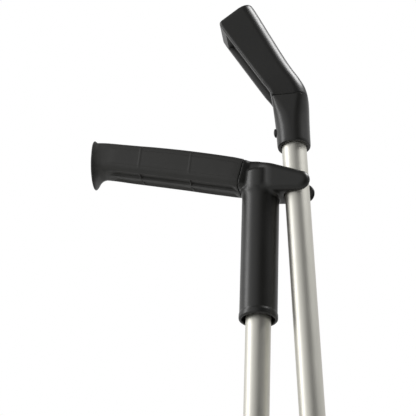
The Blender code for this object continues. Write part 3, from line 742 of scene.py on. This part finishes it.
def grip_relief(s, up, depth, half_up, half_depth):
    """How far the cover's surface stands out: ridges, a raised face and two channels below."""
    body = step_up(s, 15.4, 22.0) * (1.0 - step_up(s, 122.0, 131.0))
    front = step_up(np.abs(depth) / half_depth, 0.93, 0.99)
    below = step_up(-up / half_up, 0.93, 0.99)
    level = up / half_up
    grow = 0.3 * body * front * (step_up(level, -0.55, -0.5) - step_up(level, 0.50, 0.54))
    for centre in (-6.6, 6.6):
        wall = 1.0 - step_up(np.abs(depth - centre), 4.0, 4.6)
        grow = grow - 1.8 * body * below * wall
    for ridge in GRIP_RIDGES:
        grow = grow + 0.16 * hump(s, ridge, 1.5) * front
        grow = grow + 1.5 * hump(s, ridge, 1.2) * below * step_up(np.abs(depth), 1.5, 2.5)
    return grow


def grip_cover():
    """Squarish hand cover with mould ridges, channels below and a flange at its free end."""
    sections = [(15.2, 0.0, 12.75, 13.95, 6.0), (15.7, 0.0, 13.0, 14.2, 6.0),
                (24.0, 0.3, 13.2, 14.4, 6.5), (45.0, 0.6, 13.4, 14.5, 6.5),
                (66.0, 0.8, 13.3, 14.4, 6.5), (88.0, 0.6, 13.1, 14.2, 6.5),
                (108.0, 0.2, 12.8, 13.9, 6.5), (126.0, 0.0, 12.6, 13.7, 6.0),
                (134.0, -0.4, 12.9, 13.7, 5.0), (137.5, -1.4, 13.9, 13.9, 4.2),
                (140.0, -3.3, 16.5, 14.3, 3.2), (141.6, -5.0, 19.7, 14.8, 2.8),
                (142.5, -5.4, 20.6, 15.0, 2.7), (143.0, -5.4, 20.2, 14.7, 2.7)]
    places = [np.linspace(15.2, 15.7, 4), np.linspace(15.7, 132.0, 70), np.linspace(132.0, 143.0, 40)]
    places += [np.linspace(ridge - 1.6, ridge + 1.6, 17) for ridge in GRIP_RIDGES]
    places = np.unique(np.concatenate(places))
    count = 288
    outer = []
    for s, (rise, half_up, half_depth, power) in zip(places, smooth_table(sections, places)):
        ring = superellipse_ring(half_up, half_depth, power, s, count)
        softer = superellipse_ring(half_up, half_depth, 0.7 * power, s, count)
        ring = np.where(ring[:, :1] < 0.0, softer, ring)
        up, depth = ring[:, 0], ring[:, 1]
        grow = grip_relief(s, up, depth, half_up, half_depth)
        below = step_up(-up / half_up, 0.93, 0.99)
        side = step_up(np.abs(depth) / half_depth, 0.93, 0.99) * (1.0 - below)
        ring = np.stack([up - grow * below + rise, depth + np.sign(depth) * grow * side,
                         ring[:, 2]], 1)
        share = 0.6 * step_up(s, 15.7, 44.0) + 0.4 * step_up(s, 112.0, 134.0)
        outer.append(upright_ring(ring, share))
    end, seat = GRIP_END / MM, END_CAP_SEAT / MM

    def plain(half_up, half_depth, s, share=1.0):
        ring = superellipse_ring(half_up, half_depth, 2.4, s, count)
        return upright_ring(ring, share)

    inner = [plain(11.9, 11.3, end), plain(11.45, 10.85, end - 0.45),
             plain(11.4, 10.8, end - seat), plain(9.3, 8.3, end - seat),
             plain(9.3, 8.3, 15.6, 0.0), plain(9.6, 8.6, 15.2, 0.0)]
    points, faces = ring_solid([ring * MM for ring in outer + inner], closed=True)
    turn = np.array(grip_frame())
    points = points @ turn[:3, :3].T + turn[:3, 3]
    ob = mesh_piece("A_fine_grip_cover", points, faces, POLE_A, GRIP_FINISH, 42.0)
    place(ob, "grip_pole", "grip", "A_grip_cover")


# ---------------------------------------------------------------- arm rest

def block_ring(half_a, half_b, sharp_r, soft_r, corner=14, side=8):
    """Rounded rectangle: sharp_r on the two -a corners, soft_r on the two +a corners."""
    limit = 0.96 * min(half_a, half_b)
    sharp_r, soft_r = min(sharp_r, limit), min(soft_r, limit)
    quarter = [(1, 1, soft_r), (-1, 1, sharp_r), (-1, -1, sharp_r), (1, -1, soft_r)]
    arcs = []
    for i, (sign_a, sign_b, r) in enumerate(quarter):
        centre = np.array((sign_a * (half_a - r), sign_b * (half_b - r)))
        turn = np.radians(90.0 * i + np.linspace(0.0, 90.0, corner))
        arcs.append(centre + r * np.stack([np.cos(turn), np.sin(turn)], 1))
    points = []
    for i, part in enumerate(arcs):
        following = arcs[(i + 1) % 4][0]
        points.append(part)
        t = np.linspace(0.0, 1.0, side + 2)[1:-1, None]
        points.append(part[-1] * (1.0 - t) + following * t)
    return np.concatenate(points)


def tilted_ring(points, x, z, tilt):
    """2-D ring placed at (x, 0, z) with its plane tilted towards -X, in millimetres."""
    c, s = math.cos(tilt), math.sin(tilt)
    a, b = points[:, 0], points[:, 1]
    return np.stack([x + a * c, b, z + a * s], 1)


def rest_pad():
    """Bent block: tight edges and a recess below, broad round edges above, rounded end."""
    sections = [(80.0, -0.3, 0.0, 14.6, 13.4), (84.5, -1.2, 12.0, 14.4, 14.0),
                (91.5, -4.2, 22.0, 14.1, 14.6), (100.0, -9.2, 26.0, 14.2, 15.0),
                (133.4, -26.3, 26.0, 15.6, 15.0), (153.4, -36.2, 26.0, 16.6, 15.0),
                (159.4, -39.1, 26.0, 16.9, 15.0), (164.0, -41.4, 26.0, 16.9, 15.0)]
    last = REST_END_H - REST_END_R * math.cos(REST_BEND)
    places = np.concatenate([np.linspace(80.0, 100.0, 40), np.linspace(100.6, last, 60)])
    rings = []
    rows = smooth_table(sections, places)

    def ring(x, z, tilt, half_a, half_b, inset, groove, lean=0.0):
        points = block_ring(half_a - inset, half_b - inset, 2.1, 10.5, 18, 40)
        a, b = points[:, 0] - lean, points[:, 1]
        channel = 1.0 - step_up(np.abs(b), 9.8, 10.6)
        dip = groove * channel * step_up(-a, half_a - 1.6, half_a - 0.6)
        points = np.stack([a + dip, b], 1)
        return tilted_ring(points, x, z, tilt)

    for z, (x, tilt, half_a, half_b) in zip(places, rows):
        tilt += math.degrees(REST_END_TURN) * step_up(z, 148.0, last)
        inset = 0.4 * (1.0 - step_up(z, 80.0, 80.8))
        groove = REST_RECESS_DEPTH * step_up(z, 88.0, 91.0) * (1.0 - step_up(z, 149.0, 151.5))
        rings.append(ring(x, z, math.radians(tilt), half_a, half_b, inset, groove))
    x, tilt, half_a, half_b = rows[-1]
    for i in range(1, 9):
        turn = math.radians(11.25 * i)
        forward = REST_END_R * math.sin(turn)
        inset = REST_END_R * (1.0 - math.cos(turn))
        rings.append(ring(x - forward * math.sin(REST_BEND), last + forward * math.cos(REST_BEND),
                          REST_BEND + REST_END_TURN, half_a, half_b, inset, 0.0, 0.25 * inset))
    points, faces = ring_solid([r * MM for r in rings])
    ob = mesh_piece("B_fine_rest_pad", points, faces, POLE_B, REST_FINISH, 40.0)
    screw_x, screw_z, back = -18.0 * MM, 117.0 * MM, 15.0 * MM
    cut(ob, [hole_cutter("seat", POLE_B, SCREW_SEAT_R, (screw_x, back - 2.4 * MM, screw_z),
                         (screw_x, 2.0 * back, screw_z))])
    place(ob, "rest_pole", "rest", "B_rest_pad")


def rest_socket():
    """Socket on the tube: round and thin-walled below, squared towards the pad above."""
    sections = [(35.8, 0.0, 13.0, 13.0, 13.0, 13.0), (38.0, 0.0, 13.5, 13.4, 13.0, 13.0),
                (50.0, 0.0, 13.7, 13.4, 12.8, 12.8), (62.0, -0.1, 14.1, 13.3, 11.0, 12.0),
                (72.0, -0.2, 14.5, 13.3, 6.5, 10.5), (79.7, -0.3, 14.6, 13.4, 2.4, 8.8)]
    low, high = SOCKET_BOTTOM / MM, SOCKET_TOP / MM
    places = np.linspace(low + 0.9, high - 0.5, 64)
    rows = smooth_table(sections, places)
    rings = []

    def ring(z, row, inset):
        x, half_a, half_b, sharp_r, soft_r = row
        points = block_ring(half_a - inset, half_b - inset, sharp_r, soft_r)
        return tilted_ring(points, x, z, 0.0)

    bore_r = TUBE_BORE_R / MM
    bore_ring = block_ring(bore_r, bore_r, bore_r, bore_r)
    bore_top = low + SOCKET_BORE_DEPTH / MM
    rings.append(tilted_ring(bore_ring * 0.02, 0.0, bore_top, 0.0))
    rings.append(tilted_ring(bore_ring, 0.0, bore_top, 0.0))
    rings.append(tilted_ring(bore_ring, 0.0, low + 0.8, 0.0))
    rings.append(tilted_ring(bore_ring * 1.04, 0.0, low + 0.2, 0.0))
    for i in range(6):
        turn = math.radians(90.0 * i / 5.0)
        rings.append(ring(low + 0.9 - 0.9 * math.cos(turn), rows[0], 0.9 * (1.0 - math.sin(turn))))
    for z, row in zip(places[1:], rows[1:]):
        rings.append(ring(z, row, 0.0))
    rings.append(ring(high, rows[-1], 0.35))
    points, faces = ring_solid([r * MM for r in rings])
    ob = mesh_piece("B_fine_rest_socket", points, faces, POLE_B, SOCKET_FINISH, 40.0)
    cut(ob, [hole_cutter("hole", POLE_B, REST_BUTTON_HOLE_R, (0.0, 0.0, REST_BUTTON_H),
                         (-30.0 * MM, 0.0, REST_BUTTON_H))])
    place(ob, "rest_pole", "socket", "B_rest_socket")


# ---------------------------------------------------------------- parts that keep their CAD shape

def carried_over():
    """Better materials for the CAD nodes that stay in view."""
    finishes = {INNER_FINISH: ("A_tube_plug", "A_collar_bush", "B_collar_bush"),
                HANDLE_FINISH: ("A_grip_end_cap",),
                SCREW_FINISH: ("A_handle_screw", "B_rest_screw", "A_tip_washer", "B_tip_washer"),
                SPRING_FINISH: ("A_snap_spring", "B_snap_spring", "A_snap_spring_arm",
                                "B_snap_spring_arm", "B_rest_button_leaf")}
    for finish, names in finishes.items():
        for name in names:
            for material_slot in NODES[name].material_slots:
                material_slot.material = finish


# ---------------------------------------------------------------- studio

def floor():
    """Plain pale sheet, with gently raised far edges."""
    count, reach = 96, 3.2
    angles = np.linspace(0.0, 2.0 * math.pi, count, endpoint=False)
    rings = []
    for radius, height in ((0.01, 0.0), (0.5, 0.0), (1.2, 0.0), (2.0, 0.0), (2.8, 0.03), (reach, 0.12)):
        rings.append(np.stack([radius * np.cos(angles), radius * np.sin(angles),
                               np.full(count, height)], 1))
    points = np.concatenate(rings)
    faces = ring_faces(rings) + [tuple(reversed(range(count)))]
    mat, tree, shader = new_material("pale_floor")
    cloud = noise(tree, coordinates(tree, (1.0, 1.0, 1.0)), 3.0, 4.0)
    tint = colour_ramp(tree, cloud, [(0.3, (0.62, 0.62, 0.61)), (0.7, (0.66, 0.66, 0.65))])
    tree.links.new(tint, shader.inputs["Base Color"])
    shader.inputs["Roughness"].default_value = 0.8
    sheet = mesh_piece("studio_floor", points, faces, POLE_A, mat)


def camera():
    """Long lens looking up from near the floor, a little to the right of straight on."""
    a, e = CAMERA_AZIMUTH, CAMERA_ELEVATION
    back = Vector((math.sin(a) * math.cos(e), -math.cos(a) * math.cos(e), math.sin(e)))
    turn = back.to_track_quat("Z", "Y").to_matrix().to_4x4()
    data = bpy.data.cameras.new("camera")
    data.sensor_width = 36.0
    data.lens = CAMERA_LENS
    ob = bpy.data.objects.new("camera", data)
    bpy.context.scene.collection.objects.link(ob)
    ob.matrix_world = (Matrix.Translation(CAMERA_TARGET + CAMERA_DISTANCE * back) @ turn
                       @ Matrix.Rotation(CAMERA_ROLL, 4, "Z"))
    bpy.context.scene.camera = ob


def surroundings():
    """White room, brighter to the left of the camera and dark just right of it."""
    world = bpy.data.worlds.new("studio")
    bpy.context.scene.world = world
    world.use_nodes = True
    tree = world.node_tree
    tree.nodes.clear()
    source = add(tree, "ShaderNodeTexCoord")
    mapping = add(tree, "ShaderNodeMapping")
    mapping.inputs["Rotation"].default_value = (0.0, 0.0, math.radians(90.0) - CAMERA_AZIMUTH)
    tree.links.new(source.outputs["Generated"], mapping.inputs["Vector"])
    around = add(tree, "ShaderNodeTexGradient", gradient_type="RADIAL")
    tree.links.new(mapping.outputs["Vector"], around.inputs["Vector"])
    stops = [((angle + 180.0) / 360.0, (level, level, level)) for angle, level in ROOM_LEVELS]
    ring_light = colour_ramp(tree, around.outputs["Fac"], stops)
    room = add(tree, "ShaderNodeBackground", Strength=1.25)
    split = add(tree, "ShaderNodeSeparateXYZ")
    tree.links.new(source.outputs["Generated"], split.inputs["Vector"])
    ceiling = remap(tree, split.outputs["Z"], 1.0, 0.3, 0.55, 0.85)
    dimmed = add(tree, "ShaderNodeVectorMath", operation="SCALE")
    tree.links.new(ring_light, dimmed.inputs["Vector"])
    tree.links.new(ceiling, dimmed.inputs["Scale"])
    tree.links.new(dimmed.outputs["Vector"], room.inputs["Color"])
    white = add(tree, "ShaderNodeBackground", Strength=1.0)
    white.inputs["Color"].default_value = (1.0, 1.0, 1.0, 1.0)
    path = add(tree, "ShaderNodeLightPath")
    mix = add(tree, "ShaderNodeMixShader")
    tree.links.new(path.outputs["Is Camera Ray"], mix.inputs["Fac"])
    tree.links.new(room.outputs["Background"], mix.inputs[1])
    tree.links.new(white.outputs["Background"], mix.inputs[2])
    output = add(tree, "ShaderNodeOutputWorld")
    tree.links.new(mix.outputs["Shader"], output.inputs["Surface"])


def softbox(name, angle, elevation, distance, width, height, power):
    """Area light aimed at the handle, by its angle to the right of the camera."""
    turn = CAMERA_AZIMUTH + math.radians(angle)
    rise = math.radians(elevation)
    aim = Vector((0.0, 0.0, 0.92))
    away = Vector((math.sin(turn) * math.cos(rise), -math.cos(turn) * math.cos(rise),
                   math.sin(rise)))
    data = bpy.data.lights.new(name, "AREA")
    data.shape = "RECTANGLE"
    data.size = width
    data.size_y = height
    data.energy = power
    ob = bpy.data.objects.new(name, data)
    bpy.context.scene.collection.objects.link(ob)
    ob.matrix_world = (Matrix.Translation(aim + distance * away)
                       @ away.to_track_quat("Z", "Y").to_matrix().to_4x4())


upper_tubes()
leg_tubes()
rubber_tips()
locking_collars()
snap_buttons()
rest_button()
handle()
grip_cover()
rest_pad()
rest_socket()
carried_over()
floor()
camera()
surroundings()
softbox("key_light", angle=-82.0, elevation=24.0, distance=2.2, width=0.7, height=2.2, power=19.0)
softbox("top_light", angle=84.0, elevation=59.0, distance=1.8, width=0.9, height=0.5, power=24.0)
bpy.context.scene.view_settings.view_transform = "Standard"
